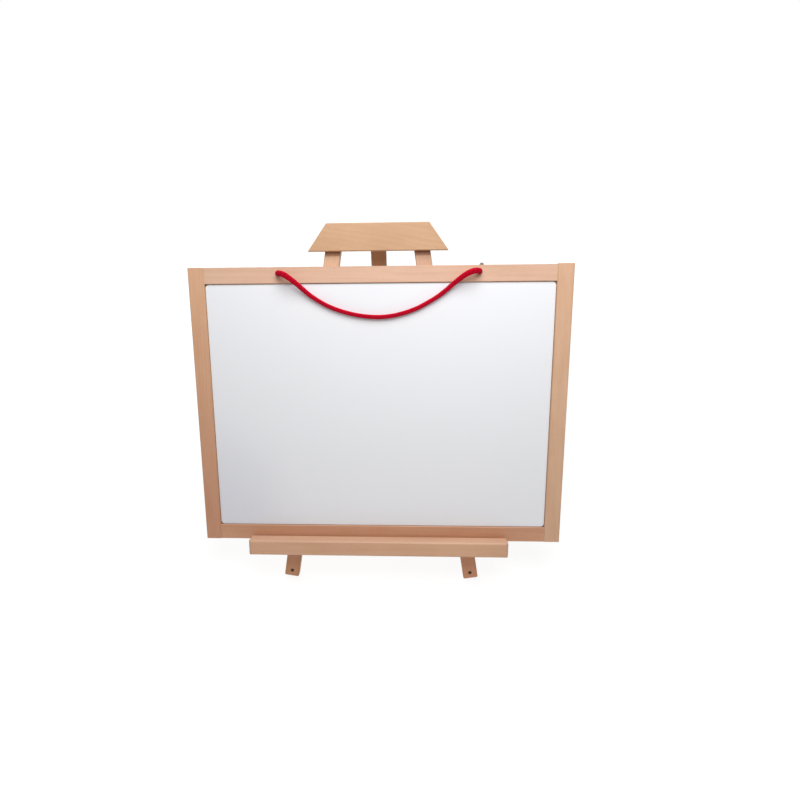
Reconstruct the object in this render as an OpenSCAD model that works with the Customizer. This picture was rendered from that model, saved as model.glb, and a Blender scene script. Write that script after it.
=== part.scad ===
// Tabletop easel of beech strips that carries a framed magnetic whiteboard.
// Units are millimetres, +Z is up, the writing face looks towards -Y.
// The origin is on the table, under the middle of the object's footprint.

/* [Whiteboard] */
// Width of the framed board
board_w = 400; // [300:1:500]
// Height of the framed board
board_h = 302; // [240:1:380]
// Thickness of the frame strips
board_t = 12; // [10.5:0.5:18]
// Width of the frame strips
member_w = 17; // [14:0.5:26]
// Depth of the writing face behind the front of the frame
face_recess = 1.6; // [1:0.1:4.5]
// Thickness of the lacquered steel sheet
sheet_t = 0.6; // [0.4:0.1:1.2]
// Gap between the steel sheet and the frame around it
sheet_gap = 0.5; // [0.2:0.1:1.5]
// Radius of the steel sheet's corners
sheet_corner_r = 4; // [1:0.5:12]
// Thickness of the hardboard panel behind the steel sheet
panel_t = 3; // [2:0.1:4]
// Depth of the groove that holds the panel
groove_depth = 5; // [3:0.5:7]
// Distance that the right stile stands proud of the top rail
stile_proud = 0.8; // [0.2:0.1:3]
// Diameter of the frame's brads
brad_d = 1.3; // [1:0.1:1.8]
// Distance that the brads stop short of the frame's front
brad_short = 2.5; // [1:0.5:3]

/* [Hanging cord] */
// Diameter of the braided cord
cord_d = 4.8; // [3:0.1:6]
// Distance of each cord hole from the middle of the board
cord_hole_u = 104; // [80:1:130]
// Distance of the cord holes below the top of the board
cord_hole_drop = 6.5; // [5:0.5:9]
// Length of each cord tail past its knot
tail_len = 8; // [5:0.5:12]

/* [Front legs] */
// Width of the leg strips
leg_w = 16.6; // [14:0.1:24]
// Thickness of the leg strips
leg_t = 9; // [7:0.5:14]
// Angle that each front leg leans inwards
leg_splay = 9; // [5:0.5:10]
// Distance of each foot's middle from the middle of the easel
foot_half = 105.5; // [95:0.5:130]
// Distance that the board and front legs lean back from upright, in degrees
lean_angle = 18; // [12:0.5:24]
// Sideways offset of the board from the middle of the easel
board_shift = 1.1; // [0:0.1:8]
// Diameter of the hole near each foot
leg_hole_d = 3.2; // [2:0.1:5]
// Distance of that hole above the end of the leg
leg_hole_up = 6.5; // [5:0.5:20]
// Radius along the edges of the wooden parts
edge_r = 0.8; // [0.3:0.1:1.5]
// Radius at the corners of the strips' ends
end_r = 1.5; // [0.5:0.1:3]

/* [Ledge] */
// Length of the ledge
ledge_l = 288; // [230:1:360]
// Sideways offset of the ledge from the middle of the easel
ledge_shift = -1.9; // [-4:0.1:4]
// Distance of the ledge's underside above the feet, along the legs
ledge_up = 40.2; // [30:0.1:70]
// Thickness of the ledge under the board
seat_t = 11.5; // [8:0.5:18]
// Height of the lip above the board's underside
lip_h = 5.7; // [3:0.1:5.8]
// Width of the lip, front to back
lip_w = 14.8; // [8:0.1:24]
// Clearance between the lip and the front of the board
lip_clear = 2.2; // [2.1:0.1:4]
// Radius along the ledge's rounded edges
ledge_r = 2; // [1:0.1:2.1]
// Radius of the ledge's front corners, seen from above
ledge_corner_r = 4; // [2:0.5:6]

/* [Crown] */
// Height of the trapezoid crown board
crown_h = 28; // [26:0.1:40]
// Thickness of the crown board
crown_t = 6; // [4:0.5:6]
// Width of the crown board along its lower edge
crown_low_w = 146; // [130:1:180]
// Width of the crown board along its upper edge
crown_top_w = 106; // [104:1:128]
// Sideways offset of the crown board from the middle of the easel
crown_shift = 0.6; // [-2:0.1:2]
// Gap between the top of the whiteboard and the crown board
crown_gap = 15.8; // [15:0.1:40]
// Distance of the front legs' upper ends below the top of the crown board
leg_hidden = 5.5; // [4:0.5:8]

/* [Rear leg and hinge] */
// Angle between the rear leg and the front legs when open
open_angle = 34; // [30:0.5:38]
// Sideways offset of the rear leg and its hinge from the middle of the easel
rear_shift = 0.3; // [-2.5:0.1:2.5]
// Width of the wooden block that carries the hinge
block_w = 40; // [32:1:60]
// Distance of the block's underside above the crown board's lower edge
block_rise = 5.8; // [5:0.1:7]
// Distance of the block's top below the top of the crown board
block_drop = 5.5; // [4:0.5:8]
// Thickness of the hinge leaves
leaf_t = 0.9; // [0.7:0.05:1.2]
// Width of the hinge leaves, along the pin
leaf_w = 16; // [14:0.5:18]
// Height of the hinge leaves, from the pin
leaf_h = 13; // [11:0.5:15]
// Gap between the closed hinge leaves
leaf_gap = 0.2; // [0.1:0.05:0.4]
// Outer diameter of the hinge knuckles
knuckle_d = 3.4; // [2.8:0.1:3.6]
// Width of the middle knuckle
mid_knuckle_w = 7.8; // [5:0.1:9]
// Diameter of the hinge pin
pin_d = 1.6; // [1:0.1:2]
// Width of the hinge pin's end caps
pin_cap_t = 0.6; // [0.3:0.1:1.2]
// Distance of the leaf screws above the hinge pin
leaf_screw_up = 7; // [5.5:0.5:8]
// Distance of each leaf screw from the middle of the hinge
leaf_screw_u = 4.5; // [3.5:0.1:5.5]
// Length of the leaf screws
leaf_screw_len = 5.5; // [4:0.5:6]

/* [Screws and fits] */
// Diameter of the wood screws' shanks
screw_d = 3; // [2:0.1:4]
// Diameter of the wood screws' heads
screw_head_d = 6; // [5:0.1:8]
// Depth that the wood screws reach into the crown board
crown_bite = 4; // [2:0.5:4]
// Depth that the wood screws reach into the ledge
ledge_bite = 15; // [8:1:20]
// Distance of the crown screws from the crown board's edges
crown_screw_in = 8; // [6:0.5:10]
// Distance of each block screw from the middle of the block
block_screw_u = 13.5; // [12.5:0.5:14]
// Diameter of the leaf screws' shanks
small_screw_d = 1.8; // [1.4:0.1:2.2]
// Diameter of the leaf screws' heads
small_head_d = 3.4; // [2.8:0.1:4]
// Clearance around screws, brads and the hinge pin
fit_clear = 0.05; // [0.02:0.01:0.1]
// Clearance around the panel, its tongues and the cord
loose_clear = 0.1; // [0.05:0.01:0.3]

/* [Hidden] */
$fn = 48;

// Colours of the pieces
beech = [0.86, 0.68, 0.53];
beech_crown = [0.87, 0.70, 0.51];
steel_white = [0.95, 0.95, 0.97];
hardboard = [0.45, 0.31, 0.21];
zinc = [0.72, 0.72, 0.70];
brass = [0.80, 0.65, 0.33];
cord_red = [0.80, 0.04, 0.14];

// Heights along the front legs, from the middle of each foot's end
seat_up = ledge_up + seat_t;
board_top = seat_up + board_h;
crown_up = board_top + crown_gap;
crown_top = crown_up + crown_h;
leg_top = crown_top - leg_hidden;
block_up = crown_up + block_rise;
block_h = crown_h - block_rise - block_drop;
// Depth of the ledge in front of the legs
ledge_n = board_t + lip_clear + lip_w;

// Hinge pin, in the easel's plane: height along the legs and distance in front of them
knuckle_r = knuckle_d / 2;
knuckle_clear = 0.25;
leaf_out = leaf_gap / 2 + leaf_t;
pin_n = -leg_t - leaf_out;
pin_up = block_up - sqrt((knuckle_r + knuckle_clear) ^ 2 - leaf_out ^ 2) - knuckle_clear / 4;
// Distance of the rear leg's front face behind the pin, square to the leg
leg_set = knuckle_r + knuckle_clear;

// The feet's lowest corners are sanded flat by this much where they touch the table
foot_bite = 1;
rear_lean = open_angle - lean_angle;
z_shift = leg_w / 2 * sin(leg_splay) * cos(lean_angle) + leg_t * sin(lean_angle) - foot_bite;
pin_z = z_shift + pin_up * cos(lean_angle) + pin_n * sin(lean_angle);
rear_len = (pin_z + leg_set * sin(rear_lean) + foot_bite) / cos(rear_lean);
// Front and back limits of the footprint, before it is centred on the origin
pin_y = pin_up * sin(lean_angle) - pin_n * cos(lean_angle);
back_y = pin_y + rear_len * sin(rear_lean) + (leg_set + leg_t) * cos(rear_lean);
front_y = (ledge_up + ledge_r) * sin(lean_angle) - (ledge_n - ledge_r) * cos(lean_angle) - ledge_r;
y_shift = -(front_y + back_y) / 2;

// Frame openings and grooves
open_w = board_w - 2 * member_w;
open_h = board_h - 2 * member_w;
groove_w = panel_t + 2 * loose_clear;
panel_mid = -face_recess - sheet_t - panel_t / 2;
tongue_len = groove_depth - loose_clear;
hole_v = board_h / 2 - cord_hole_drop;
cut = 1;

// Route of the cord's free stretch from the left hole to the right one, on the board:
// right, up and outwards from the middle of the board's front face
CORD_ROUTE = [
    [-104, 144.5, 0], [-103.3, 144.5, 3.7], [-101.2, 144.2, 6.8], [-98.2, 143.4, 8.9],
    [-94.5, 141.6, 9.6], [-89, 137.6, 8.3], [-83, 132.4, 5.6], [-76.5, 126.4, 3.3], [-70, 121, 2],
    [-62, 115.8, 1.4], [-52, 110.4, 1.2], [-40, 105.7, 1.1], [-27, 102.1, 1.1], [-14, 99.9, 1.1],
    [0, 99, 1.1], [14, 100.2, 1.1], [27, 103.2, 1.1], [40, 107.8, 1.1], [52, 114, 1.2],
    [62, 120, 1.4], [70, 126, 2], [76.5, 131.6, 3.3], [83, 136.8, 5.6], [89, 141, 8.3],
    [94.5, 143.6, 9.6], [98.2, 144.6, 8.9], [101.2, 144.8, 6.8], [103.3, 144.6, 3.7],
    [104, 144.5, 0]];
CORD_SIDES = 10;

// Places a child that is drawn in the plane of the front legs:
// X across, Y up along the legs, Z out of their front face
module in_lean_plane() {
    translate([0, y_shift, z_shift]) rotate([90 - lean_angle, 0, 0]) children();
}

module on_easel() {
    in_lean_plane() translate([-board_shift, 0, 0]) children();
}

// Places a child that is drawn from the middle of the board's front face
module on_board() {
    in_lean_plane() translate([0, seat_up + board_h / 2, board_t]) children();
}

// Places a child that is drawn on a front leg, from the middle of its lower end
module on_leg(side) {
    on_easel() translate([side * foot_half, 0, 0]) rotate([0, 0, side * leg_splay]) children();
}

// Places a child that is drawn from the hinge pin, in the plane of the front legs
module at_pin() {
    on_easel() translate([rear_shift, pin_up, pin_n]) children();
}

// Everything below the table top
module below_table() {
    span = 2 * board_w;
    translate([-span / 2, -span / 2, -span]) cube([span, span, span]);
}

// Rectangle with rounded corners, from its lower left corner
module round_rect(w, h, r) {
    translate([r, 0]) square([w - 2 * r, h]);
    translate([0, r]) square([w, h - 2 * r]);
    for (x = [r, w - r], y = [r, h - r]) translate([x, y]) circle(r);
}

// Wooden strip along Y: eased long edges, rounded corners at both ends,
// centred on X, with its front face in the plane Z = 0
module strip(w, t, len, r_edge, r_end) {
    intersection() {
        rotate([-90, 0, 0]) translate([-w / 2, 0, 0]) linear_extrude(len) round_rect(w, t, r_edge);
        translate([-w / 2, 0, -t - cut]) linear_extrude(t + 2 * cut) round_rect(w, len, r_end);
    }
}

// Countersunk screw that points along -Z, with its head's face at Z = 0
module screw(shank_d, head_d, len) {
    head_h = (head_d - shank_d) / 2;
    slot_w = head_d * 0.13;
    slot_l = head_d * 0.55;
    slot_d = head_h * 0.6;
    difference() {
        union() {
            translate([0, 0, -head_h]) cylinder(h = head_h, d1 = shank_d, d2 = head_d);
            translate([0, 0, shank_d - len]) cylinder(h = len - shank_d - head_h, d = shank_d);
            translate([0, 0, -len]) cylinder(h = shank_d, d1 = shank_d / 4, d2 = shank_d);
        }
        for (a = [0, 90]) rotate([0, 0, a])
            translate([-slot_l / 2, -slot_w / 2, -slot_d]) cube([slot_l, slot_w, slot_d + cut]);
    }
}

// Hole for such a screw, with clearance all round
module screw_hole(shank_d, head_d, len) {
    hole_d = shank_d + 2 * fit_clear;
    mouth_d = head_d + 2 * fit_clear;
    head_h = (mouth_d - hole_d) / 2;
    translate([0, 0, -len - fit_clear]) cylinder(h = len + fit_clear, d = hole_d);
    translate([0, 0, -head_h]) cylinder(h = head_h, d1 = hole_d, d2 = mouth_d);
    cylinder(h = cut, d = mouth_d);
}

// Heights of the crown screws along the legs' plane
CROWN_SCREW_UPS = [crown_up + crown_screw_in, crown_top - crown_screw_in];
crown_screw_len = leg_t + crown_bite;
ledge_screw_len = leg_t + ledge_bite;

// Places a child at each crown screw of one leg, pointing forwards from the leg's back
module at_crown_screws(side) {
    for (up = CROWN_SCREW_UPS) on_leg(side)
        translate([0, up / cos(leg_splay), -leg_t]) rotate([180, 0, 0]) children();
}

module at_ledge_screw(side) {
    on_leg(side) translate([0, (ledge_up + seat_t / 2) / cos(leg_splay), -leg_t])
        rotate([180, 0, 0]) children();
}

module at_block_screws() {
    for (u = [-block_screw_u, block_screw_u]) on_easel()
        translate([rear_shift + u, block_up + block_h / 2, -leg_t]) rotate([180, 0, 0]) children();
}

// Trapezoid board that joins the tops of the legs
module crown_board() {
    color(beech_crown) difference() {
        on_easel() translate([crown_shift, crown_up, 0]) intersection() {
            linear_extrude(crown_t) polygon([[-crown_low_w / 2, 0], [crown_low_w / 2, 0],
                [crown_top_w / 2, crown_h], [-crown_top_w / 2, crown_h]]);
            translate([-crown_low_w, 0, 0]) rotate([90, 0, 90])
                linear_extrude(2 * crown_low_w) round_rect(crown_h, crown_t, edge_r);
        }
        for (side = [-1, 1]) at_crown_screws(side) screw_hole(screw_d, screw_head_d, crown_screw_len);
        at_block_screws() screw_hole(screw_d, screw_head_d, crown_screw_len);
    }
}

module front_leg(side) {
    color(beech) difference() {
        on_leg(side) strip(leg_w, leg_t, leg_top / cos(leg_splay), edge_r, end_r);
        on_leg(side) translate([0, leg_hole_up, -leg_t - cut]) cylinder(h = leg_t + 2 * cut, d = leg_hole_d);
        at_crown_screws(side) screw_hole(screw_d, screw_head_d, crown_screw_len);
        at_ledge_screw(side) screw_hole(screw_d, screw_head_d, ledge_screw_len);
        below_table();
    }
}

module left_front_leg() { front_leg(-1); }

module right_front_leg() { front_leg(1); }

// Block behind the crown board, between the legs, that carries the hinge
module hinge_block() {
    color(beech) difference() {
        on_easel() translate([rear_shift - block_w / 2, block_up, -leg_t]) cube([block_w, block_h, leg_t]);
        at_block_screws() screw_hole(screw_d, screw_head_d, crown_screw_len);
        at_leaf_screws(1) screw_hole(small_screw_d, small_head_d, leaf_screw_len);
    }
}

module crown_screws() {
    color(zinc) for (side = [-1, 1]) at_crown_screws(side) screw(screw_d, screw_head_d, crown_screw_len);
}

module block_screws() {
    color(zinc) at_block_screws() screw(screw_d, screw_head_d, crown_screw_len);
}

// Ledge with a rebate that the board stands in, behind a rounded lip
module ledge() {
    ledge_h = seat_t + lip_h;
    color(beech) difference() {
        on_easel() translate([ledge_shift, ledge_up, 0]) intersection() {
            translate([-ledge_l / 2 - cut, 0, 0]) rotate([90, 0, 90]) linear_extrude(ledge_l + 2 * cut) {
                square([seat_t, ledge_n - ledge_r]);
                translate([0, board_t + lip_clear]) round_rect(ledge_h, lip_w, ledge_r);
            }
            translate([-ledge_l / 2, 0, -cut]) linear_extrude(ledge_n + 2 * cut)
                round_rect(ledge_l, ledge_h, ledge_r);
            translate([-ledge_l / 2, ledge_h + cut, -ledge_n]) rotate([90, 0, 0])
                linear_extrude(ledge_h + 2 * cut) round_rect(ledge_l, 2 * ledge_n, ledge_corner_r);
        }
        for (side = [-1, 1]) at_ledge_screw(side) screw_hole(screw_d, screw_head_d, ledge_screw_len);
    }
}

module ledge_screws() {
    color(zinc) for (side = [-1, 1]) at_ledge_screw(side) screw(screw_d, screw_head_d, ledge_screw_len);
}

// Places a child at the two screws of a leaf: side 1 is the fixed leaf, -1 the moving one
module at_leaf_screws(side) {
    for (u = [-leaf_screw_u, leaf_screw_u]) at_pin()
        translate([u, leaf_screw_up, side * leaf_gap / 2]) rotate([side > 0 ? 180 : 0, 0, 0]) children();
}

// Cylinder along the hinge pin
module along_pin(d, x0, x1) {
    translate([x0, 0, 0]) rotate([0, 90, 0]) cylinder(h = x1 - x0, d = d);
}

// Plate of a leaf, with its inner face half the leaf gap from the pin's plane
module leaf_plate(side) {
    corner_r = 1.5;
    translate([-leaf_w / 2, 0, side > 0 ? leaf_gap / 2 : -leaf_out]) linear_extrude(leaf_t) {
        square([leaf_w, leaf_h - corner_r]);
        translate([0, leaf_h / 2]) round_rect(leaf_w, leaf_h / 2, corner_r);
    }
}

module hinge_fixed_leaf() {
    knuckle_gap = 0.2;
    mid = mid_knuckle_w / 2 + knuckle_gap;
    color(brass) difference() {
        at_pin() difference() {
            union() {
                leaf_plate(1);
                along_pin(knuckle_d, -leaf_w / 2, -mid);
                along_pin(knuckle_d, mid, leaf_w / 2);
            }
            along_pin(knuckle_d + 2 * knuckle_clear, -mid, mid);
            along_pin(pin_d + 2 * fit_clear, -leaf_w, leaf_w);
        }
        at_leaf_screws(1) screw_hole(small_screw_d, small_head_d, leaf_screw_len);
    }
}

module hinge_moving_leaf() {
    mid = mid_knuckle_w / 2;
    color(brass) difference() {
        at_pin() difference() {
            union() {
                leaf_plate(-1);
                along_pin(knuckle_d, -mid, mid);
            }
            along_pin(knuckle_d + 2 * knuckle_clear, -leaf_w, -mid);
            along_pin(knuckle_d + 2 * knuckle_clear, mid, leaf_w);
            along_pin(pin_d + 2 * fit_clear, -leaf_w, leaf_w);
        }
        at_leaf_screws(-1) screw_hole(small_screw_d, small_head_d, leaf_screw_len);
    }
}

module hinge_pin() {
    cap_d = (pin_d + knuckle_d) / 2;
    cap_x = leaf_w / 2 + fit_clear;
    color(zinc) at_pin() {
        along_pin(pin_d, -cap_x, cap_x);
        along_pin(cap_d, -cap_x - pin_cap_t, -cap_x);
        along_pin(cap_d, cap_x, cap_x + pin_cap_t);
    }
}

module hinge_fixed_screws() {
    color(zinc) at_leaf_screws(1) screw(small_screw_d, small_head_d, leaf_screw_len);
}

module hinge_moving_screws() {
    color(zinc) at_leaf_screws(-1) screw(small_screw_d, small_head_d, leaf_screw_len);
}

// Rear leg, drawn from the hinge pin: its bevelled top end seats on the closed hinge
module rear_leg() {
    over = (leg_set + leg_t) / tan(open_angle);
    color(beech) difference() {
        at_pin() difference() {
            rotate([open_angle, 0, 0]) translate([0, -rear_len, -leg_set])
                strip(leg_w, leg_t, rear_len + over, edge_r, end_r);
            translate([-leg_w, -board_h, -leaf_out]) cube([2 * leg_w, 2 * board_h, 2 * leg_t]);
        }
        at_leaf_screws(-1) screw_hole(small_screw_d, small_head_d, leaf_screw_len);
        below_table();
    }
}

// Groove for the panel along the inner edge of a stile, as a cutter
module stile_groove(side) {
    inner = open_w / 2 - cut;
    translate([side > 0 ? inner : -inner - groove_depth - cut, -board_h, panel_mid - groove_w / 2])
        cube([groove_depth + cut, 2 * board_h, groove_w]);
}

module at_frame_brads() {
    for (u = [-1, 1], v = [-1, 1])
        translate([u * (open_w / 2 + tongue_len / 2), v * (board_h / 2 - (member_w - groove_depth) / 2), -board_t])
            children();
}

module brad_hole() {
    translate([0, 0, -cut]) cylinder(h = board_t - brad_short + cut + fit_clear, d = brad_d + 2 * fit_clear);
}

module stile(side, proud) {
    color(beech) on_board() difference() {
        translate([side * (board_w - member_w) / 2, -board_h / 2, 0])
            strip(member_w, board_t, board_h + proud, edge_r, edge_r);
        stile_groove(side);
        at_frame_brads() brad_hole();
    }
}

module left_stile() { stile(-1, 0); }

module right_stile() { stile(1, stile_proud); }

// Rail between the stiles, with a groove for the panel and a tongue at each end
module rail(side, with_holes) {
    inner = side * open_h / 2;
    tongue_h = member_w - groove_depth;
    color(beech) on_board() difference() {
        union() {
            translate([-open_w / 2, side > 0 ? inner : inner - member_w, -board_t])
                rotate([90, 0, 90]) linear_extrude(open_w) round_rect(member_w, board_t, edge_r);
            translate([-open_w / 2 - tongue_len, side > 0 ? inner + groove_depth : inner - member_w,
                panel_mid - panel_t / 2]) cube([open_w + 2 * tongue_len, tongue_h, panel_t]);
        }
        translate([-open_w, side > 0 ? inner - cut : inner - groove_depth, panel_mid - groove_w / 2])
            cube([2 * open_w, groove_depth + cut, groove_w]);
        at_frame_brads() brad_hole();
        if (with_holes) for (u = [-cord_hole_u, cord_hole_u])
            translate([u, hole_v, -board_t - cut])
                cylinder(h = board_t + 2 * cut, d = cord_d + 2 * loose_clear);
    }
}

module top_rail() { rail(1, true); }

module bottom_rail() { rail(-1, false); }

module whiteboard_sheet() {
    w = open_w - 2 * sheet_gap;
    h = open_h - 2 * sheet_gap;
    color(steel_white) on_board() translate([-w / 2, -h / 2, -face_recess - sheet_t])
        linear_extrude(sheet_t) round_rect(w, h, sheet_corner_r);
}

module backing_panel() {
    w = open_w + 2 * tongue_len;
    h = open_h + 2 * tongue_len;
    color(hardboard) on_board() difference() {
        translate([-w / 2, -h / 2, panel_mid - panel_t / 2]) cube([w, h, panel_t]);
        for (u = [-1, 1], v = [-1, 1]) translate([u * w / 2, v * h / 2, panel_mid])
            cube([2 * tongue_len, 2 * loose_clear, 2 * panel_t], center = true);
    }
}

module frame_brads() {
    color(zinc) on_board() at_frame_brads() cylinder(h = board_t - brad_short, d = brad_d);
}

// Sweep of the cord: one ring of points for each point of the route
function unit(v) = v / norm(v);
function route_dir(i, last) = i == 0 ? [0, 0, 1] : i == last ? [0, 0, -1]
    : unit(CORD_ROUTE[i + 1] - CORD_ROUTE[i - 1]);
function ring(centre, dir, r, n) = let (a = unit(cross(dir, [0, 1, 0])), b = cross(a, dir))
    [for (k = [0:n - 1]) centre + r * (cos(360 * k / n) * a + sin(360 * k / n) * b)];

module hang_cord() {
    last = len(CORD_ROUTE) - 1;
    n = CORD_SIDES;
    points = [for (i = [0:last], p = ring(CORD_ROUTE[i], route_dir(i, last), cord_d / 2, n)) p];
    sides = [for (i = [0:last - 1], k = [0:n - 1], f = [
        [i * n + k, i * n + (k + 1) % n, (i + 1) * n + (k + 1) % n],
        [i * n + k, (i + 1) * n + (k + 1) % n, (i + 1) * n + k]]) f];
    start = [for (k = [1:n - 2]) [0, k + 1, k]];
    end = [for (k = [1:n - 2]) [last * n, last * n + k, last * n + k + 1]];
    color(cord_red) on_board() polyhedron(points, concat(sides, start, end));
}

// Stopper knot behind a cord hole: the end of the cord fills the hole, wraps twice
// and leaves as a short tail. The tail is turned in the plane of the board.
module knot(side, tail_turn) {
    wrap_r = cord_d * 0.7;
    color(cord_red) on_board() translate([side * cord_hole_u, hole_v, 0]) {
        translate([0, 0, -board_t - cord_d]) cylinder(h = board_t + cord_d, d = cord_d);
        translate([0, 0, -board_t - cord_d / 2 - loose_clear]) rotate_extrude()
            translate([wrap_r, 0]) circle(d = cord_d);
        translate([0, 0, -board_t - cord_d * 1.05]) rotate([0, 0, tail_turn]) rotate([60, 0, 0])
            rotate_extrude() translate([wrap_r, 0]) circle(d = cord_d);
        translate([0, 0, -board_t - cord_d * 0.9]) rotate([0, 0, tail_turn]) rotate([-90, 0, 0])
            cylinder(h = wrap_r + tail_len, d = cord_d);
    }
}

module left_knot() { knot(-1, 200); }

module right_knot() { knot(1, -20); }

crown_board();
left_front_leg();
right_front_leg();
hinge_block();
crown_screws();
block_screws();
ledge();
ledge_screws();
hinge_fixed_leaf();
hinge_pin();
hinge_fixed_screws();
rear_leg();
hinge_moving_leaf();
hinge_moving_screws();
left_stile();
right_stile();
top_rail();
bottom_rail();
whiteboard_sheet();
backing_panel();
frame_brads();
hang_cord();
left_knot();
right_knot();
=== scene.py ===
"""Looks of a magnetic desk whiteboard easel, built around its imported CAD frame."""

import math

import bpy
import numpy as np
from mathutils import Matrix, Vector


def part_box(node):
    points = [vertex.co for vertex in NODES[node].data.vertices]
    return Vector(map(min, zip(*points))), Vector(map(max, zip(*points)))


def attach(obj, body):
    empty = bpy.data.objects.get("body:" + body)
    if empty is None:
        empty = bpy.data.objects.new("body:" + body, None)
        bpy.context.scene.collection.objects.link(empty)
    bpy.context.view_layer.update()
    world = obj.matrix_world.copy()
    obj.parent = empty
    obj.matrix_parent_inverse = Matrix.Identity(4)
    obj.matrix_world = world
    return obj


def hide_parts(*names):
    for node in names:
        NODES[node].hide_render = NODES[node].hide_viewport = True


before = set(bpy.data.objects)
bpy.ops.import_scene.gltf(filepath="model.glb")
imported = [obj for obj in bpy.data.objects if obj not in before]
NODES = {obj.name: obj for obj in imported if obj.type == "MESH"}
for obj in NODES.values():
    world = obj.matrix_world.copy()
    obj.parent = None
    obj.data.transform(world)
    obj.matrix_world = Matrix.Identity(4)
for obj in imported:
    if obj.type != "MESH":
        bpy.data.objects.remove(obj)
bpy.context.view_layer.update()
MM = 0.001

# Frames of reference: the board and the front legs lean back together
LEAN = math.radians(18)
SPLAY = math.radians(9)
OPEN_ANGLE = math.radians(34)
RIGHT = Vector((1, 0, 0))
UP = Vector((0, math.sin(LEAN), math.cos(LEAN)))
OUT = Vector((0, -math.cos(LEAN), math.sin(LEAN)))


def centre_of(name):
    low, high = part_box(name)
    return (low + high) / 2


def reach_of(name, direction):
    """Least and greatest place of a node's points along a direction, in mm."""
    places = [direction.dot(v.co) / MM for v in NODES[name].data.vertices]
    return min(places), max(places)


def half_of(name, direction):
    low, high = reach_of(name, direction)
    return (high - low) / 2


# The steel sheet is centred in the board, whose front face is that of its stiles
SHEET_CENTRE = centre_of("whiteboard_sheet")
SHEET_DEPTH = round(reach_of("left_stile", OUT)[1] - SHEET_CENTRE.dot(OUT) / MM, 2)
BOARD_MIDDLE = SHEET_CENTRE + OUT * SHEET_DEPTH * MM
# Gap between the sheet and the frame round it, in mm
SHEET_GAP = 0.5


def on_board(u, v, n):
    """World place of a point given in millimetres from the middle of the board's front face."""
    return BOARD_MIDDLE + (RIGHT * u + UP * v + OUT * n) * MM


def axes(thick, along, origin):
    """Local frame of a piece: across its face, through its thickness, along its grain."""
    m = Matrix((thick.cross(along), thick, along)).transposed().to_4x4()
    m.translation = origin
    return m


# Camera: pixels of the photo, a place in mm from the board's middle, and turns in degrees
FOCAL_PX, IMAGE_PX, CENTRE_PX = 500.0, 800.0, 384.5
CAMERA_AT = (27.76, 106.43, 530.2)
CAMERA_TURN = [math.radians(a) for a in (10.224, -2.394, 0.431)]


def make_camera():
    data = bpy.data.cameras.new("camera")
    data.sensor_width = 36
    data.lens = data.sensor_width * FOCAL_PX / IMAGE_PX
    data.shift_x = (IMAGE_PX / 2 - CENTRE_PX) / IMAGE_PX
    data.clip_start, data.clip_end = 0.01, 50
    camera = bpy.data.objects.new("camera", data)
    bpy.context.scene.collection.objects.link(camera)
    rx, ry, rz = CAMERA_TURN
    turn = Matrix.Rotation(rz, 3, "Z") @ Matrix.Rotation(rx, 3, "X") @ Matrix.Rotation(ry, 3, "Y")
    board_axes = Matrix((RIGHT, UP, OUT)).transposed()
    rotation = (board_axes @ turn.transposed()).to_quaternion()
    camera.matrix_world = Matrix.LocRotScale(on_board(*CAMERA_AT), rotation, None)
    bpy.context.scene.camera = camera


make_camera()


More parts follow.
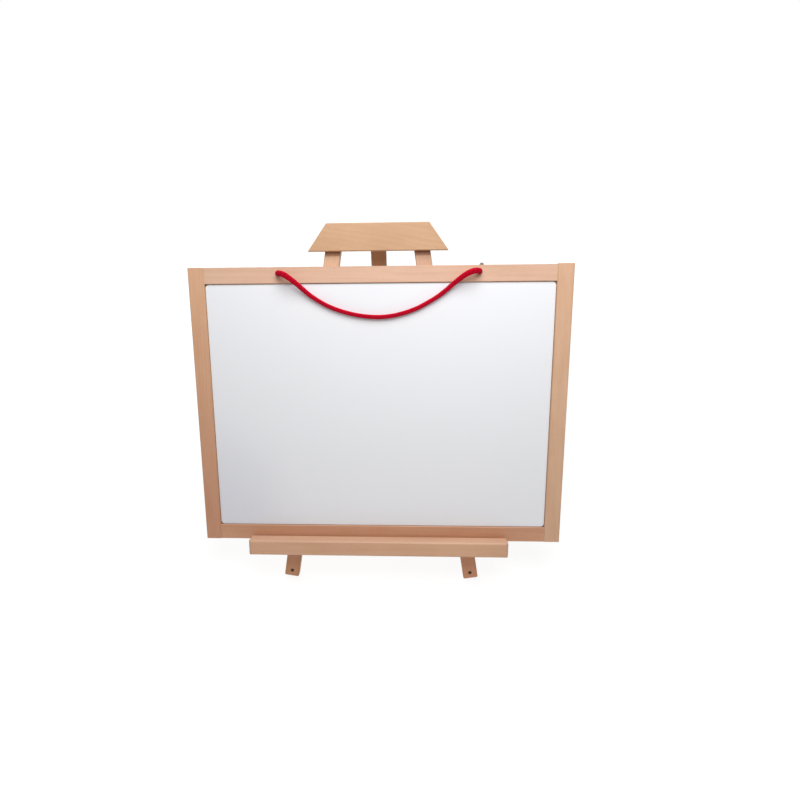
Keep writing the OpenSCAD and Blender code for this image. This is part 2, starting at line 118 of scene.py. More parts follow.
class Tree:
    """Short calls that add nodes to a node tree."""

    def __init__(self, tree):
        self.tree = tree

    def add(self, kind, inputs=None, out=0, **settings):
        """Adds a node, sets or links its inputs, and returns one of its outputs."""
        node = self.tree.nodes.new(kind)
        for key, value in settings.items():
            setattr(node, key, value)
        for key, value in (inputs or {}).items():
            self.put(node.inputs[key], value)
        return node.outputs[out] if out is not None else node

    def put(self, socket, value):
        if isinstance(value, bpy.types.NodeSocket):
            self.tree.links.new(value, socket)
        elif socket.type == "RGBA" and len(value) == 3:
            socket.default_value = (*value, 1)
        else:
            socket.default_value = value

    def math(self, op, a, b=0.0, clamp=False):
        return self.add("ShaderNodeMath", {0: a, 1: b}, operation=op, use_clamp=clamp)

    def length(self, a, b):
        """Length of the hypotenuse over two sides."""
        squares = self.math("ADD", self.math("MULTIPLY", a, a), self.math("MULTIPLY", b, b))
        return self.math("SQRT", squares)

    def mix(self, factor, a, b, blend="MIX"):
        return self.add("ShaderNodeMix", {0: factor, 6: a, 7: b}, out=2, data_type="RGBA",
                        blend_type=blend)

    def fit(self, value, low, high, to_low=0.0, to_high=1.0):
        """Smooth step of a value from low..high to to_low..to_high."""
        inputs = {0: value, 1: low, 2: high, 3: to_low, 4: to_high}
        return self.add("ShaderNodeMapRange", inputs, interpolation_type="SMOOTHSTEP")

    def dot(self, vector, direction):
        return self.add("ShaderNodeVectorMath", {0: vector, 1: direction}, out="Value",
                        operation="DOT_PRODUCT")

    def stretch(self, vector, scale, shift=(0, 0, 0)):
        return self.add("ShaderNodeVectorMath", {0: vector, 1: scale, 2: shift},
                        operation="MULTIPLY_ADD")

    def noise(self, vector, detail=2.0, rough=0.5, distortion=0.0):
        inputs = {"Vector": vector, "Scale": 1.0, "Detail": detail, "Roughness": rough,
                  "Distortion": distortion}
        return self.add("ShaderNodeTexNoise", inputs)

    def cells(self, vector, out="Distance"):
        return self.add("ShaderNodeTexVoronoi", {"Vector": vector, "Scale": 1.0}, out=out)

    def split(self, vector):
        node = self.add("ShaderNodeSeparateXYZ", {0: vector}, out=None)
        return node.outputs[0], node.outputs[1], node.outputs[2]

    def bump(self, height, distance, strength):
        inputs = {"Height": height, "Distance": distance, "Strength": strength}
        return self.add("ShaderNodeBump", inputs)

    def rest_mm(self):
        """Rest coordinates of the surface, in millimetres."""
        coords = self.add("ShaderNodeTexCoord", out="Object")
        return self.stretch(coords, (1 / MM, 1 / MM, 1 / MM))

    def seen_directly(self):
        """1 for rays of the camera, reflections and refractions, and 0 for rays that only light."""
        path = self.add("ShaderNodeLightPath", out=None)
        seen = self.math("ADD", path.outputs["Is Camera Ray"], path.outputs["Is Glossy Ray"])
        return self.math("ADD", seen, path.outputs["Is Transmission Ray"], clamp=True)


def new_material(name, **uniform):
    """A material, its tree helper and its shader, with uniform values on the shader's sockets."""
    material = bpy.data.materials.new(name)
    material.use_nodes = True
    shader = material.node_tree.nodes["Principled BSDF"]
    tree = Tree(material.node_tree)
    for key, value in uniform.items():
        tree.put(shader.inputs[key.replace("_", " ").title().replace("Ior", "IOR")], value)
    return material, tree, shader


def local_mm(tree, place):
    """Rest coordinates of the surface in the frame `place`, in millimetres."""
    coords = tree.add("ShaderNodeTexCoord", out="Object")
    return tree.add("ShaderNodeMapping", {"Vector": coords, "Location": place.translation,
                                          "Rotation": place.to_euler(), "Scale": (MM, MM, MM)},
                    vector_type="TEXTURE")


def facing(tree, direction):
    """How far the surface faces along a direction of the rest frame, from -1 to 1."""
    normal = tree.add("ShaderNodeTexCoord", out="Normal")
    return tree.dot(normal, direction)


# Beech
def growth_rings(t, p, moved, pith, ring, taper, wander):
    """Late wood, from 0 to 1, in rings round a bent pith line."""
    a, b, g = t.split(p)
    bend = t.math("SUBTRACT", t.noise(t.stretch(moved, (0.02, 0.02, 0.009)), 2.0), 0.5)
    side = t.math("ADD", t.math("SUBTRACT", a, pith[0]), t.math("MULTIPLY", bend, wander))
    deep = t.math("SUBTRACT", b, pith[1])
    run = t.math("ADD", t.length(side, deep), t.math("MULTIPLY", g, taper))
    ripple = t.math("MULTIPLY", t.noise(t.stretch(moved, (0.25, 0.25, 0.02)), 3.0), 0.9)
    phase = t.math("FRACT", t.math("ADD", t.math("DIVIDE", run, ring), ripple))
    return t.math("MULTIPLY", t.fit(phase, 0.25, 0.93), t.fit(phase, 1.0, 0.94))


def ray_flecks(t, moved):
    """Short flecks along the grain, in some of their cells only."""
    place = t.stretch(moved, (1.25, 1.25, 0.36))
    fleck = t.fit(t.cells(place), 0.26, 0.08)
    chosen = t.split(t.cells(place, out="Color"))[0]
    return t.math("MULTIPLY", fleck, t.fit(chosen, 0.35, 0.6))


def drifted(t, colour, p, reach, tint):
    """The colour drifts to a tint over a reach on both sides of the middle, towards the low end."""
    along = t.split(p)[2]
    return t.mix(t.fit(along, reach, -reach), colour, tint, "MULTIPLY")


def painted_foot_shade(t, colour, p, cloud, height):
    """Painted shade: the wood is darker and browner below a height along the grain, as in the shade
    under the ledge.
    """
    rise = t.math("ADD", t.split(p)[2], t.math("MULTIPLY", cloud, 14))
    return t.mix(t.fit(rise, height + 24, height, 0.0, 0.9), colour, (1.0, 0.77, 0.62), "MULTIPLY")


def painted_crown_shade(t, colour, height):
    """Painted shade of the crown board: the front is darkened above a rest height along UP."""
    crown_shaded = t.fit(t.dot(t.rest_mm(), UP), height - 0.5, height + 0.6)
    crown_shaded = t.math("MULTIPLY", crown_shaded, t.fit(facing(t, OUT), 0.5, 0.9))
    return t.mix(crown_shaded, colour, (0.60, 0.47, 0.35), "MULTIPLY")


def shaded_hole_rim(t, colour, p, place, middle, hole_r):
    """Painted shade round a hole through the thickness: its rim is darkened, so that the hole looks
    wider and darker.
    """
    a, _, g = t.split(p)
    at = place.inverted() @ middle / MM
    reach = t.length(t.math("SUBTRACT", a, at.x), t.math("SUBTRACT", g, at.z))
    rim_shade = t.fit(reach, hole_r + 0.9, hole_r + 0.15, 0.0, 0.9)
    return t.mix(rim_shade, colour, (0.10, 0.045, 0.02))


def eased_edges(t, p, name, place, streak):
    """The long edges of a piece, from 0 to 1, unevenly worn."""
    near = []
    for i in (0, 1):
        half = half_of(name, place.to_3x3().col[i])
        near.append(t.fit(t.math("ABSOLUTE", t.split(p)[i]), half - 1.3, half - 0.15))
    worn = t.fit(streak, 0.3, 0.62, 0.35, 1.0)
    return t.math("MULTIPLY", t.math("MULTIPLY", *near), worn)


def beech(name, place, tone, seed, pith, ring=2.6, taper=0.02, wander=6.0, warm=1.0, shine=0.44,
          drift=None, shade_below=None, crown_shade=None, holes=(), edges="handled"):
    """Solid beech for a node, with its lengths in mm.

    place    local frame: across the piece, through its thickness, along its grain
    tone     mean colour
    seed     shifts every pattern, so that no two pieces are alike
    pith     place of the tree's centre beside the piece
    ring     width of a year's growth
    taper    how fast the rings run out of the face
    wander   how far the rings bend along the grain
    warm     strength of the late wood
    shine    mean roughness
    drift    half length over which the colour drifts, and the tint at its low end
    foot     height along the grain below which shade is painted, darker and browner
    grime    rest height along UP above which the crown board's shade is painted on the front
    holes    places and radii of the holes drilled through the thickness
    edges    handled (darkened), sanded (pale) or None where the grain runs across them"""
    material, t, shader = new_material("beech_" + name, specular_ior_level=0.42)
    pale, dark, brown, end = (tuple(c * k for c, k in zip(tone, tint)) for tint in (
        (1.09, 1.11, 1.13), (0.87, 0.79, 0.72), (0.62, 0.48, 0.38), (0.74, 0.66, 0.58)))
    p = local_mm(t, place)
    moved = t.stretch(p, (1, 1, 1), (seed * 37.1, seed * 11.7, seed * 53.3))
    late = growth_rings(t, p, moved, pith, ring, taper, wander)
    fibre = t.noise(t.stretch(moved, (4.2, 4.2, 0.16)), 4.0, 0.62)
    streak = t.noise(t.stretch(moved, (0.42, 0.42, 0.012)), 4.0, 0.6, 0.25)
    cloud = t.noise(t.stretch(moved, (0.035, 0.035, 0.014)), 2.0)
    fleck = ray_flecks(t, moved)

    depth = t.math("ADD", t.math("MULTIPLY", t.fit(streak, 0.25, 0.75), 0.2),
                   t.math("MULTIPLY", late, 0.14 * warm))
    depth = t.math("ADD", depth, t.math("MULTIPLY", t.fit(cloud, 0.3, 0.7), 0.34))
    depth = t.math("ADD", depth, t.math("MULTIPLY", t.fit(fibre, 0.35, 0.7), 0.16), clamp=True)
    colour = t.mix(depth, pale, dark)
    colour = t.mix(t.math("MULTIPLY", fleck, 0.5), colour, brown)
    if drift is not None:
        colour = drifted(t, colour, p, *drift)
    # Painted shade on the feet, below the ledge
    if shade_below is not None:
        colour = painted_foot_shade(t, colour, p, cloud, shade_below)
    # Painted shade of the crown board on the fronts of the legs
    if crown_shade is not None:
        colour = painted_crown_shade(t, colour, crown_shade)
    # Painted shade round the drilled holes
    for middle, hole_r in holes:
        colour = shaded_hole_rim(t, colour, p, place, middle, hole_r)

    # Painted light: the faces that look up are lighter and cooler
    lit_from_above = t.fit(facing(t, Vector((0, 0, 1))), 0.6, 0.93)
    colour = t.mix(lit_from_above, colour, (1.03, 1.08, 1.15), "MULTIPLY")

    # End grain drinks more finish and shows its pores
    cut_end = t.fit(t.math("ABSOLUTE", facing(t, place.to_3x3().col[2])), 0.75, 0.92)
    pores = t.fit(t.cells(t.stretch(moved, (5.5, 5.5, 0.4))), 0.35, 0.1)
    end_colour = t.mix(t.math("MULTIPLY", pores, 0.5), t.mix(late, end, brown), brown)
    colour = t.mix(cut_end, colour, end_colour)
    rough = t.math("ADD", t.math("MULTIPLY", fibre, 0.16), shine - 0.06)
    rough = t.math("ADD", rough, t.math("MULTIPLY", cut_end, 0.2))

    # Eased edges are smoother, and darker or paler
    if edges is not None:
        edge = eased_edges(t, p, name, place, streak)
        share, tint = {"handled": (0.55, brown), "sanded": (0.4, pale)}[edges]
        colour = t.mix(t.math("MULTIPLY", edge, share), colour, tint)
        rough = t.math("SUBTRACT", rough, t.math("MULTIPLY", edge, 0.06))

    raised = t.math("ADD", fibre, t.math("MULTIPLY", late, 0.35))
    sunk = t.math("ADD", t.math("MULTIPLY", fleck, 0.3), t.math("MULTIPLY", pores, cut_end))
    t.put(shader.inputs["Base Color"], colour)
    t.put(shader.inputs["Roughness"], rough)
    t.put(shader.inputs["Normal"], t.bump(t.math("SUBTRACT", raised, sunk), 0.00006, 0.55))
    return material


# Other materials
def white_lacquer():
    """White lacquer on steel: faint orange peel, wiped haze, dust along the frame with painted
    shade there, and painted shade in the lower left corner.
    """
    material, t, shader = new_material("white_lacquer", coat_weight=0.35, coat_roughness=0.08,
                                       specular_ior_level=0.5)
    p = local_mm(t, axes(UP, OUT, BOARD_MIDDLE))
    u, v, _ = t.split(p)
    half_u, half_v = (half_of("whiteboard_sheet", axis) + SHEET_GAP for axis in (RIGHT, UP))
    from_side = t.math("SUBTRACT", half_u, t.math("ABSOLUTE", u))
    from_end = t.math("SUBTRACT", half_v, t.math("ABSOLUTE", v))
    border = t.math("MINIMUM", from_side, from_end)
    haze = t.noise(t.stretch(p, (0.009, 0.012, 0.02)), 2.0, 0.5)
    wipes = t.noise(t.stretch(p, (0.016, 0.03, 0.03), (3.0, 1.0, 0.0)), 2.0, 0.5, 0.5)
    speck_place = t.stretch(p, (0.3, 0.3, 0.3))
    chosen = t.fit(t.split(t.cells(speck_place, out="Color"))[0], 0.86, 0.9)
    specks = t.math("MULTIPLY", t.fit(t.cells(speck_place), 0.07, 0.03), chosen)
    # Dust along the frame, with painted shade of the gap round the sheet: greyer and rougher near
    # the border
    dust_and_shade = t.math("MULTIPLY", t.fit(border, 3.2, 0.4), t.fit(haze, 0.2, 0.8, 0.4, 1.0))
    colour = t.mix(t.fit(haze, 0.2, 0.8), (0.870, 0.876, 0.908), (0.866, 0.872, 0.900))
    colour = t.mix(t.math("MULTIPLY", dust_and_shade, 0.35), colour, (0.66, 0.65, 0.65))
    colour = t.mix(t.math("MULTIPLY", specks, 0.12), colour, (0.55, 0.55, 0.57))
    # Painted shade: the sheet is darker towards the lower left corner
    from_shaded_corner = t.length(t.math("ADD", u, half_u),
                           t.math("MULTIPLY", t.math("ADD", v, half_v), 0.75))
    colour = t.mix(t.fit(from_shaded_corner, 110, 15), colour, (0.88, 0.88, 0.91), "MULTIPLY")
    rough = t.math("ADD", t.math("MULTIPLY", wipes, 0.04), t.math("MULTIPLY", haze, 0.04))
    rough = t.math("ADD", t.math("ADD", rough, 0.15), t.math("MULTIPLY", dust_and_shade, 0.2))
    peel = t.noise(t.stretch(p, (0.55, 0.55, 0.55)), 2.0)
    t.put(shader.inputs["Base Color"], colour)
    t.put(shader.inputs["Roughness"], rough)
    t.put(shader.inputs["Normal"], t.bump(peel, 0.00001, 0.3))
    return material


def hardboard():
    """Brown hardboard: pressed fibres, smooth in front, with the press screen's marks behind."""
    material, t, shader = new_material("hardboard", specular_ior_level=0.35)
    p = local_mm(t, axes(UP, OUT, BOARD_MIDDLE))
    fibres = t.noise(t.stretch(p, (0.9, 0.9, 0.9)), 6.0, 0.7, 1.6)
    clumps = t.noise(t.stretch(p, (0.06, 0.06, 0.06)), 3.0)
    chips = t.fit(t.cells(t.stretch(p, (0.5, 0.9, 0.5))), 0.3, 0.05)
    u, v, _ = t.split(p)
    weft = t.math("SINE", t.math("MULTIPLY", u, 4.6))
    warp = t.math("SINE", t.math("MULTIPLY", v, 4.6))
    screen = t.math("MULTIPLY", t.math("MULTIPLY", weft, warp), t.fit(facing(t, OUT), -0.2, -0.8))
    colour = t.mix(t.fit(fibres, 0.3, 0.72), (0.235, 0.128, 0.066), (0.37, 0.225, 0.125))
    colour = t.mix(t.math("MULTIPLY", t.fit(clumps, 0.35, 0.7), 0.4), colour, (0.20, 0.108, 0.056))
    colour = t.mix(t.math("MULTIPLY", chips, 0.3), colour, (0.45, 0.29, 0.17))
    colour = t.mix(t.fit(screen, 0.1, -0.6, 0.0, 0.35), colour, (0.15, 0.08, 0.04))
    rough = t.math("ADD", t.math("MULTIPLY", fibres, 0.25), 0.45)
    height = t.math("ADD", t.math("MULTIPLY", fibres, 0.5), t.math("MULTIPLY", screen, 0.5))
    t.put(shader.inputs["Base Color"], colour)
    t.put(shader.inputs["Roughness"], rough)
    t.put(shader.inputs["Normal"], t.bump(height, 0.00012, 0.6))
    return material


def metal(name, bright, worn, rough, grain):
    """Plated metal: tumbled scratches, duller patches and a worn tone."""
    material, t, shader = new_material(name, metallic=1.0)
    p = t.rest_mm()
    patches = t.noise(t.stretch(p, (0.5, 0.5, 0.5)), 4.0, 0.6, 0.5)
    scratches = t.noise(t.stretch(p, grain), 3.0, 0.7)
    pits = t.fit(t.cells(t.stretch(p, (1.6, 1.6, 1.6))), 0.22, 0.05)
    colour = t.mix(t.fit(patches, 0.35, 0.7), bright, worn)
    colour = t.mix(t.math("MULTIPLY", pits, 0.35), colour, tuple(c * 0.5 for c in worn))
    dulling = t.math("ADD", t.math("MULTIPLY", scratches, 0.16), t.math("MULTIPLY", patches, 0.14))
    t.put(shader.inputs["Base Color"], colour)
    t.put(shader.inputs["Roughness"], t.math("ADD", dulling, rough))
    t.put(shader.inputs["Normal"], t.bump(t.math("SUBTRACT", scratches, pits), 0.00003, 0.5))
    return material


def braid_material():
    """Red braided polyester: painted shade between the yarns, darker where they sink, filaments
    along each yarn, soft sheen.
    """
    material, t, shader = new_material("red_braid", roughness=0.75, specular_ior_level=0.04,
                                       sheen_weight=0.05, sheen_roughness=0.5,
                                       sheen_tint=(1.0, 0.2, 0.3))
    height, across, run = (t.add("ShaderNodeAttribute", attribute_name="yarn_" + key, out="Fac")
                           for key in ("height", "across", "run"))
    filament_place = t.add("ShaderNodeCombineXYZ", {0: t.math("MULTIPLY", across, 9.0),
                                                    1: t.math("MULTIPLY", run, 0.5), 2: 0.0})
    filaments = t.noise(filament_place, 3.0, 0.65)
    p = t.rest_mm()
    fade = t.noise(t.stretch(p, (0.12, 0.12, 0.12)), 3.0)
    fluff = t.noise(t.stretch(p, (3.1, 3.1, 3.1)), 4.0, 0.7)
    # Painted shade: the colour darkens where the yarns sink between their neighbours
    colour = t.mix(t.fit(height, 0.35, 0.95), (0.14, 0.001, 0.006), (0.61, 0.002, 0.021))
    colour = t.mix(t.math("MULTIPLY", t.fit(fade, 0.35, 0.7), 0.5), colour, (0.51, 0.002, 0.015))
    colour = t.mix(t.fit(filaments, 0.3, 0.7, 0.0, 0.32), colour, (0.73, 0.005, 0.038))
    colour = t.mix(t.fit(fluff, 0.55, 0.8, 0.0, 0.3), colour, (0.75, 0.014, 0.055))
    relief = t.math("ADD", t.math("MULTIPLY", filaments, 0.7), t.math("MULTIPLY", fluff, 0.3))
    t.put(shader.inputs["Base Color"], colour)
    t.put(shader.inputs["Normal"], t.bump(relief, 0.00012, 0.6))
    return material


def melted_material():
    """Heat-sealed cord end: a hard dark drop with a red cast."""
    material, t, shader = new_material("melted_tip", specular_ior_level=0.5)
    lumps = t.noise(t.stretch(t.rest_mm(), (0.9, 0.9, 0.9)), 4.0, 0.6, 0.4)
    colour = t.mix(t.fit(lumps, 0.3, 0.7), (0.10, 0.075, 0.07), (0.20, 0.15, 0.14))
    t.put(shader.inputs["Base Color"], colour)
    t.put(shader.inputs["Roughness"], t.math("ADD", t.math("MULTIPLY", lumps, 0.3), 0.25))
    t.put(shader.inputs["Normal"], t.bump(lumps, 0.0002, 0.7))
    return material


# The cord's free stretch on the board, from the left hole to the right one, in mm: right, up, out
CORD_ROUTE = [
    (-104, 144.5, 0), (-103.3, 144.5, 3.7), (-101.2, 144.2, 6.8), (-98.2, 143.4, 8.9),
    (-94.5, 141.6, 9.6), (-89, 137.6, 8.3), (-83, 132.4, 5.6), (-76.5, 126.4, 3.3), (-70, 121, 2),
    (-62, 115.8, 1.4), (-52, 110.4, 1.2), (-40, 105.7, 1.1), (-27, 102.1, 1.1), (-14, 99.9, 1.1),
    (0, 99, 1.1), (14, 100.2, 1.1), (27, 103.2, 1.1), (40, 107.8, 1.1), (52, 114, 1.2),
    (62, 120, 1.4), (70, 126, 2), (76.5, 131.6, 3.3), (83, 136.8, 5.6), (89, 141, 8.3),
    (94.5, 143.6, 9.6), (98.2, 144.6, 8.9), (101.2, 144.8, 6.8), (103.3, 144.6, 3.7),
    (104, 144.5, 0)]
# Its diameter, and the gap round it in its holes, in mm
CORD_D, HOLE_CLEAR = 4.8, 0.1
HOLE_U, HOLE_V, _ = CORD_ROUTE[-1]
HOLE_R = CORD_D / 2 + HOLE_CLEAR


# Wooden pieces
def tilted(name, thick, along, angle):
    """Local frame in a node's middle, with its grain turned by an angle towards thick x along."""
    across = thick.cross(along)
    return axes(thick, along * math.cos(angle) + across * math.sin(angle), centre_of(name))


REAR_ALONG = UP * math.cos(OPEN_ANGLE) + OUT * math.sin(OPEN_ANGLE)
REAR_THICK = OUT * math.cos(OPEN_ANGLE) - UP * math.sin(OPEN_ANGLE)
# The crown board is cut a little across the grain
CROWN_SLANT = math.radians(9)
# Painted shade of the crown board darkens the fronts of the legs in the corner below it
CROWN_SHADE_H = 4.6
CROWN_SHADE_FROM = reach_of("crown_board", UP)[0] - CROWN_SHADE_H
# Shade under the ledge is painted on the feet up to here along the legs, and a small hole is
# drilled in each
FOOT_SHADE_H = -158
LEFT_FOOT_U, RIGHT_FOOT_U, FOOT_HOLE_V, FOOT_HOLE_R = -105.6, 103.4, -196.3, 1.6
WOOD = {
    # Painted shade: the left stile drifts darker towards its bottom, where the light falls off
    "left_stile": dict(place=axes(OUT, UP, centre_of("left_stile")),
                       tone=(0.654, 0.385, 0.233), seed=1.3, pith=(-46, -28), ring=2.7,
                       drift=(150, (0.87, 0.75, 0.75))),
    "right_stile": dict(place=axes(OUT, UP, centre_of("right_stile")),
                        tone=(0.655, 0.41, 0.265), seed=2.1, pith=(12, -64), ring=2.3, taper=0.012),
    "top_rail": dict(place=axes(OUT, RIGHT, centre_of("top_rail")),
                     tone=(0.665, 0.425, 0.30), seed=3.7, pith=(-22, -58), ring=2.5, taper=0.008,
                     holes=[(on_board(u, HOLE_V, 0), HOLE_R) for u in (-HOLE_U, HOLE_U)]),
    "bottom_rail": dict(place=axes(OUT, RIGHT, centre_of("bottom_rail")),
                        tone=(0.60, 0.315, 0.19), seed=4.9, pith=(35, -40), ring=2.9, taper=-0.01,
                        edges="sanded"),
    "left_front_leg": dict(place=tilted("left_front_leg", OUT, UP, -SPLAY),
                           tone=(0.62, 0.40, 0.265), seed=5.5, pith=(60, -20), ring=2.4,
                           shade_below=FOOT_SHADE_H, crown_shade=CROWN_SHADE_FROM,
                           holes=[(on_board(LEFT_FOOT_U, FOOT_HOLE_V, 0), FOOT_HOLE_R)]),
    # Painted shade: the right front leg's tone is darker, evening out the stronger light on the
    # right, and it drifts brighter towards its foot
    "right_front_leg": dict(place=tilted("right_front_leg", OUT, UP, SPLAY),
                            tone=(0.53, 0.328, 0.222), seed=6.2, pith=(-14, -50), ring=2.8,
                            taper=0.012, drift=(170, (1.24, 1.23, 1.23)), shade_below=FOOT_SHADE_H,
                            crown_shade=CROWN_SHADE_FROM,
                            holes=[(on_board(RIGHT_FOOT_U, FOOT_HOLE_V, 0), FOOT_HOLE_R)]),
    # Painted shade: the rear leg's tone is darker than the front legs', for the shade it stands in
    # behind the board
    "rear_leg": dict(place=axes(REAR_THICK, REAR_ALONG, centre_of("rear_leg")),
                     tone=(0.50, 0.288, 0.16), seed=7.9, pith=(20, -70), ring=2.5),
    "ledge": dict(place=axes(OUT, RIGHT, centre_of("ledge")),
                  tone=(0.665, 0.39, 0.245), seed=8.4, pith=(28, -60), ring=2.8, taper=0.01,
                  shine=0.4, edges="sanded"),
    "crown_board": dict(place=tilted("crown_board", OUT, RIGHT, -CROWN_SLANT),
                        tone=(0.53, 0.315, 0.174), seed=9.1, pith=(-34, -30), ring=4.2,
                        taper=0.012, wander=14, warm=1.3, drift=(60, (1.06, 1.08, 1.12)),
                        edges=None),
    "hinge_block": dict(place=axes(OUT, RIGHT, centre_of("hinge_block")),
                        tone=(0.62, 0.40, 0.26), seed=10.6, pith=(30, 30)),
}
ZINC = metal("zinc_plate", (0.62, 0.62, 0.60), (0.46, 0.46, 0.45), 0.24, (0.8, 6.0, 6.0))
BRASS = metal("brass_plate", (0.74, 0.56, 0.25), (0.52, 0.37, 0.15), 0.2, (0.5, 7.0, 7.0))


def dress(name, material):
    materials = NODES[name].data.materials
    materials.clear()
    materials.append(material)


for wood_name, wood in WOOD.items():
    dress(wood_name, beech(wood_name, **wood))
dress("whiteboard_sheet", white_lacquer())
dress("backing_panel", hardboard())
for leaf in ("hinge_fixed_leaf", "hinge_moving_leaf"):
    dress(leaf, BRASS)
for steel in ("crown_screws", "block_screws", "ledge_screws", "hinge_fixed_screws",
              "hinge_moving_screws", "hinge_pin", "frame_brads"):
    dress(steel, ZINC)


# Cord: length of its free stretch, about, and how far each end reaches into its hole, in mm
FREE_MM, INSIDE = 250.0, 1.5
# The loose braid is drawn thin where it hangs and gathers thicker where it bends to its holes:
# distance from the hole, and radius as a share of the cord's own
FROM_HOLE = (0, 2, 5, 16, 32, 60)
RADIUS_SHARE = (0.97, 1.04, 1.25, 1.3, 1.12, 0.97)
# Yarns laid each way, the length of their turn in mm, and their relief as a share of the radius
YARNS, BRAID_PITCH, YARN_RELIEF = 8, 14.0, 0.14
# The mesh's sides and ring distance in mm, and the steps of the cubic between two route points
SIDES, RING_STEP, SPLINE_STEPS = 48, 0.32, 24


def run_along(line):
    """Length run from a line's start to each of its points."""
    return np.concatenate([[0], np.cumsum(np.linalg.norm(np.diff(line, axis=0), axis=1))])


def smooth_line(points, step, passes):
    """A dense, even line: a cubic through the points, once these are smoothed."""
    p = np.array(points, float)
    for _ in range(passes):
        p[1:-1] = 0.25 * p[:-2] + 0.5 * p[1:-1] + 0.25 * p[2:]
    ends = np.vstack([2 * p[0] - p[1], p, 2 * p[-1] - p[-2]])
    line = []
    for i in range(1, len(ends) - 2):
        p0, p1, p2, p3 = ends[i - 1:i + 3]
        for f in np.linspace(0, 1, SPLINE_STEPS, endpoint=False):
            line.append(0.5 * (2 * p1 + (p2 - p0) * f + (2 * p0 - 5 * p1 + 4 * p2 - p3) * f ** 2
                               + (3 * p1 - p0 - 3 * p2 + p3) * f ** 3))
    line = np.array(line + [p[-1]])
    run = run_along(line)
    even = np.linspace(0, run[-1], int(run[-1] / step))
    return np.column_stack([np.interp(even, run, line[:, k]) for k in range(3)])


def transported(line):
    """Two directions square to the line at each of its points, without twist."""
    along = np.gradient(line, axis=0)
    along /= np.linalg.norm(along, axis=1)[:, None]
    side = np.cross(along[0], (0.0, 1.0, 0.0))
    sides = []
    for d in along:
        side = side - d * side.dot(d)
        side /= np.linalg.norm(side)
        sides.append(side.copy())
    sides = np.array(sides)
    return sides, np.cross(along, sides)


def yarn_over(own, other):
    """Height across a yarn, from 0 to 1, as it passes over two crossing yarns and under two."""
    lane = np.floor(own)
    across = 2 * (own - lane) - 1
    weave = 0.5 + 0.5 * np.sin((other + lane) * math.pi / 2 + math.pi / 4)
    return np.sqrt(np.clip(1 - across ** 2, 0, 1)) * (0.45 + 0.55 * weave), across


def add_piece(name, verts, faces, material):
    """A smooth-shaded mesh object with one material."""
    mesh = bpy.data.meshes.new(name)
    mesh.from_pydata(verts, [], faces)
    mesh.update()
    mesh.polygons.foreach_set("use_smooth", [True] * len(faces))
    mesh.materials.append(material)
    piece = bpy.data.objects.new(name, mesh)
    bpy.context.scene.collection.objects.link(piece)
    return piece


def braided_tube(name, points, radius, passes=0):
    """A braided cord along the points, in board millimetres. radius is a function of the share of
    the length. Returns the object and its centreline in rest coordinates."""
    line = smooth_line(points, RING_STEP, passes)
    side, other = transported(line)
    angle = np.arange(SIDES) * 2 * math.pi / SIDES
    turn, length = np.meshgrid(angle, run_along(line))
    lanes = YARNS * turn / (2 * math.pi)
    travel = YARNS * length / BRAID_PITCH
    right, right_across = yarn_over(lanes + travel, lanes - travel)
    left, left_across = yarn_over(lanes - travel, -(lanes + travel) + 2)
    height = np.maximum(right, left)
    base = np.array([radius(share) for share in np.linspace(0, 1, len(line))])
    reach = base[:, None] * (1 - YARN_RELIEF + YARN_RELIEF * height)
    rings = (line[:, None, :] + side[:, None, :] * (np.cos(turn) * reach)[..., None]
             + other[:, None, :] * (np.sin(turn) * reach)[..., None])
    count = len(line)
    points_mm = np.vstack([rings.reshape(-1, 3), line[0], line[-1]])
    verts = [on_board(*q) for q in points_mm]
    faces = []
    for i in range(count - 1):
        for k in range(SIDES):
            n = (k + 1) % SIDES
            faces.append((i * SIDES + k, i * SIDES + n, (i + 1) * SIDES + n, (i + 1) * SIDES + k))
    first, last = count * SIDES, count * SIDES + 1
    for k in range(SIDES):
        n = (k + 1) % SIDES
        faces.append((first, n, k))
        faces.append((last, (count - 1) * SIDES + k, (count - 1) * SIDES + n))
    tube = add_piece(name, verts, faces, RED)
    on_top = right > left
    values = {
        "yarn_height": height,
        "yarn_across": np.where(on_top, right_across, left_across + 7),
        "yarn_run": np.where(on_top, length + turn, length - turn + 40),
    }
    for key, value in values.items():
        flat = np.concatenate([value.ravel(), [0.5, 0.5]]).astype(np.float32)
        tube.data.attributes.new(key, "FLOAT", "POINT").data.foreach_set("value", flat)
    return tube, [on_board(*q) for q in line]


def cord_radius(share):
    """Radius of the free stretch at a share of its length."""
    from_hole = min(share, 1 - share) * FREE_MM
    return CORD_D / 2 * float(np.interp(from_hole, FROM_HOLE, RADIUS_SHARE))


RED = braid_material()
MELTED = melted_material()
route = [(-HOLE_U, HOLE_V, -INSIDE)] + CORD_ROUTE + [(HOLE_U, HOLE_V, -INSIDE)]
cord, cord_line = braided_tube("hanging_cord", route, cord_radius)
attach(cord, "whiteboard")
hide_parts("hang_cord")


# Stopper knots behind the top rail, with heat-sealed tails

# Mean radius and tube radius of the wraps, and the place of their middle behind the board's front
KNOT_R, KNOT_TURN_R, KNOT_N = 3.3, 1.75, -16.3
# Radius of the cord in its hole and in the knot, and of the melted drop
IN_HOLE_R, IN_KNOT_R, TIP_R = 2.36, 2.14, 2.25


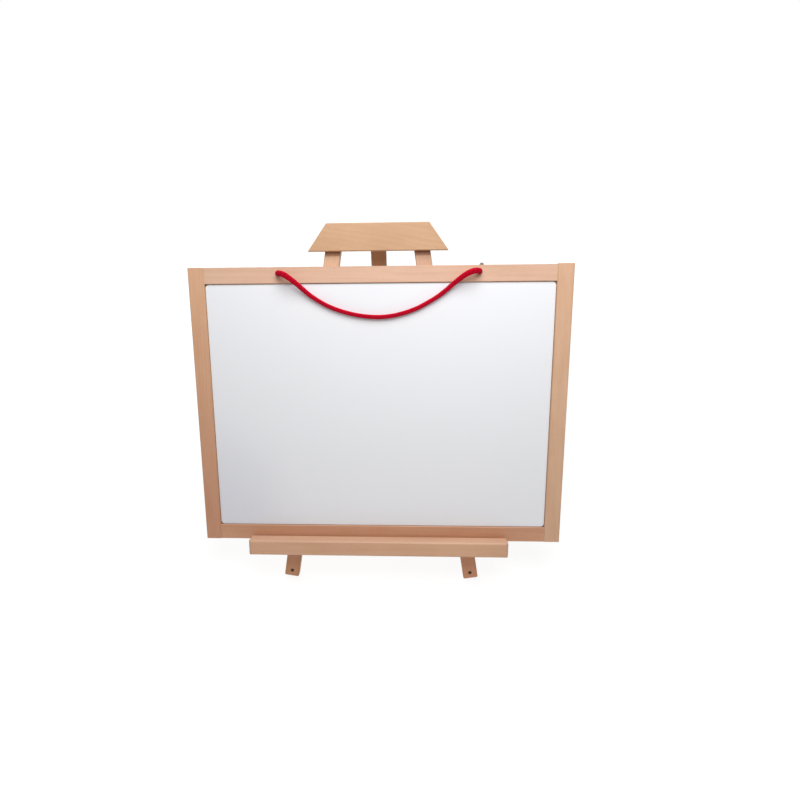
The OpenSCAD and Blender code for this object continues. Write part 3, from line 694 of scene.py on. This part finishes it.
def knot_route(side, tail_turn, tail_len):
    """The cord from its hole into an overhand knot, and its tail towards tail_turn degrees."""
    lead = [(0, 0, -INSIDE + 0.3), (0, 0, -4), (0, 0, -7), (0, 0, -10), (0.2, 0, -12.4)]
    leave = math.radians(tail_turn) - math.pi / 2
    shift = leave - 16 * math.pi / 3
    wraps = []
    for t in np.linspace(math.pi + 0.2, 8 * math.pi / 3, 40):
        r = KNOT_R + KNOT_TURN_R * math.cos(3 * t)
        wraps.append((r * math.cos(2 * t + shift), r * math.sin(2 * t + shift),
                      KNOT_N + KNOT_TURN_R * math.sin(3 * t)))
    x, y, z = wraps[-1]
    way = (-math.sin(leave), math.cos(leave))
    tail = [(x + way[0] * d + 0.02 * d * d * math.cos(leave), y + way[1] * d,
             z + 0.25 * math.sin(d * 0.6)) for d in np.linspace(2.2, tail_len, 6)]
    return [(side * HOLE_U + a, HOLE_V + b, n) for a, b, n in lead + wraps + tail]


def knot_radius(share):
    """Radius of a tied cord at a share of its length from inside the hole."""
    return IN_HOLE_R - (IN_HOLE_R - IN_KNOT_R) * min(1, max(0, share - 0.1) / 0.05)


def sealed_tip(name, line):
    """A lumpy melted drop on the end of a tail, in rings between two poles."""
    end = line[-1]
    way = (line[-1] - line[-6]).normalized()
    turn = way.to_track_quat("Z", "Y").to_matrix()
    rows, around = 14, 28
    verts, faces = [], []
    for i in range(1, rows):
        rise = math.pi * i / rows
        for k in range(around):
            a = 2 * math.pi * k / around
            lump = 1 + 0.07 * math.sin(3 * a + 2.1 * rise) + 0.05 * math.sin(5 * a - 3.3 * rise + 1)
            r = TIP_R * math.sin(rise) * lump
            z = -TIP_R * math.cos(rise) * (1 + 0.05 * math.sin(2 * a))
            verts.append(end + turn @ Vector((r * math.cos(a), r * math.sin(a), z)) * MM)
    last_row = (rows - 2) * around
    inner, outer = len(verts), len(verts) + 1
    verts += [end - way * TIP_R * MM, end + way * TIP_R * MM]
    for k in range(around):
        n = (k + 1) % around
        for i in range(0, last_row, around):
            faces.append((i + k, i + n, i + around + n, i + around + k))
        faces.append((inner, n, k))
        faces.append((outer, last_row + k, last_row + n))
    return add_piece(name, verts, faces, MELTED)


# Name, side, and the direction in degrees and length in mm of the tail
KNOTS = (("left_knot", -1, 262, 8.8), ("right_knot", 1, 103, 6.9))
for knot_name, knot_side, tail_turn, tail_len in KNOTS:
    knot, knot_line = braided_tube(knot_name + "_tied", knot_route(knot_side, tail_turn, tail_len),
                                   knot_radius, passes=1)
    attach(knot, "whiteboard")
    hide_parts(knot_name)
    tip = sealed_tip(knot_name + "_tip", knot_line)
    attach(tip, "whiteboard")


# Floor, world and lamps
FLOOR_R, FLOOR_SIDES = 12.0, 64


def make_floor():
    """A white floor that glows where it is looked at, so that only a soft shadow shows on it."""
    mesh = bpy.data.meshes.new("floor")
    angles = [a * 2 * math.pi / FLOOR_SIDES for a in range(FLOOR_SIDES)]
    ring = [(FLOOR_R * math.cos(a), FLOOR_R * math.sin(a), 0) for a in angles]
    mesh.from_pydata(ring, [], [tuple(range(FLOOR_SIDES))])
    material = bpy.data.materials.new("floor")
    material.use_nodes = True
    material.node_tree.nodes.clear()
    t = Tree(material.node_tree)
    coords = t.add("ShaderNodeTexCoord", out="Object")
    far = t.add("ShaderNodeVectorMath", {0: coords}, out="Value", operation="LENGTH")
    share = t.math("MULTIPLY", t.seen_directly(), t.fit(far, 0.3, 1.4, 0.8, 1.0))
    grain = t.noise(t.stretch(coords, (180, 180, 180)), 3.0)
    colour = t.mix(grain, (0.84, 0.84, 0.84), (0.88, 0.88, 0.88))
    diffuse = t.add("ShaderNodeBsdfDiffuse", {"Color": colour})
    glow = t.add("ShaderNodeEmission", {"Color": (1, 1, 1), "Strength": 1.1})
    surface = t.add("ShaderNodeMixShader", {0: share, 1: diffuse, 2: glow})
    t.add("ShaderNodeOutputMaterial", {"Surface": surface}, out=None)
    mesh.materials.append(material)
    floor = bpy.data.objects.new("floor", mesh)
    bpy.context.scene.collection.objects.link(floor)


def make_world(level):
    """White where it is looked at, and dimmer as a light."""
    world = bpy.data.worlds.new("studio")
    bpy.context.scene.world = world
    world.use_nodes = True
    world.node_tree.nodes.clear()
    t = Tree(world.node_tree)
    strength = t.add("ShaderNodeMapRange", {0: t.seen_directly(), 1: 0.0, 2: 1.0, 3: level, 4: 1.0})
    sky = t.add("ShaderNodeBackground", {"Color": (1, 1, 1), "Strength": strength})
    t.add("ShaderNodeOutputWorld", {"Surface": sky}, out=None)


def lamp(name, place, target, size, watts):
    """A white rectangular lamp that the camera doesn't see, in metres and watts."""
    data = bpy.data.lights.new(name, "AREA")
    data.shape = "RECTANGLE"
    data.size, data.size_y = size
    data.energy = watts
    obj = bpy.data.objects.new(name, data)
    obj.location = place
    obj.rotation_mode = "QUATERNION"
    obj.rotation_quaternion = (Vector(target) - Vector(place)).to_track_quat("-Z", "Y")
    obj.visible_camera = False
    bpy.context.scene.collection.objects.link(obj)


make_floor()
make_world(0.22)
lamp("key", (0.08, -0.32, 0.83), (0.08, -0.02, 0.36), (0.5, 0.5), 4.75)
lamp("back_fill", (-0.5, 0.95, 0.5), (0.0, 0.0, 0.2), (0.9, 0.7), 10.0)

bpy.context.scene.view_settings.view_transform = "Standard"
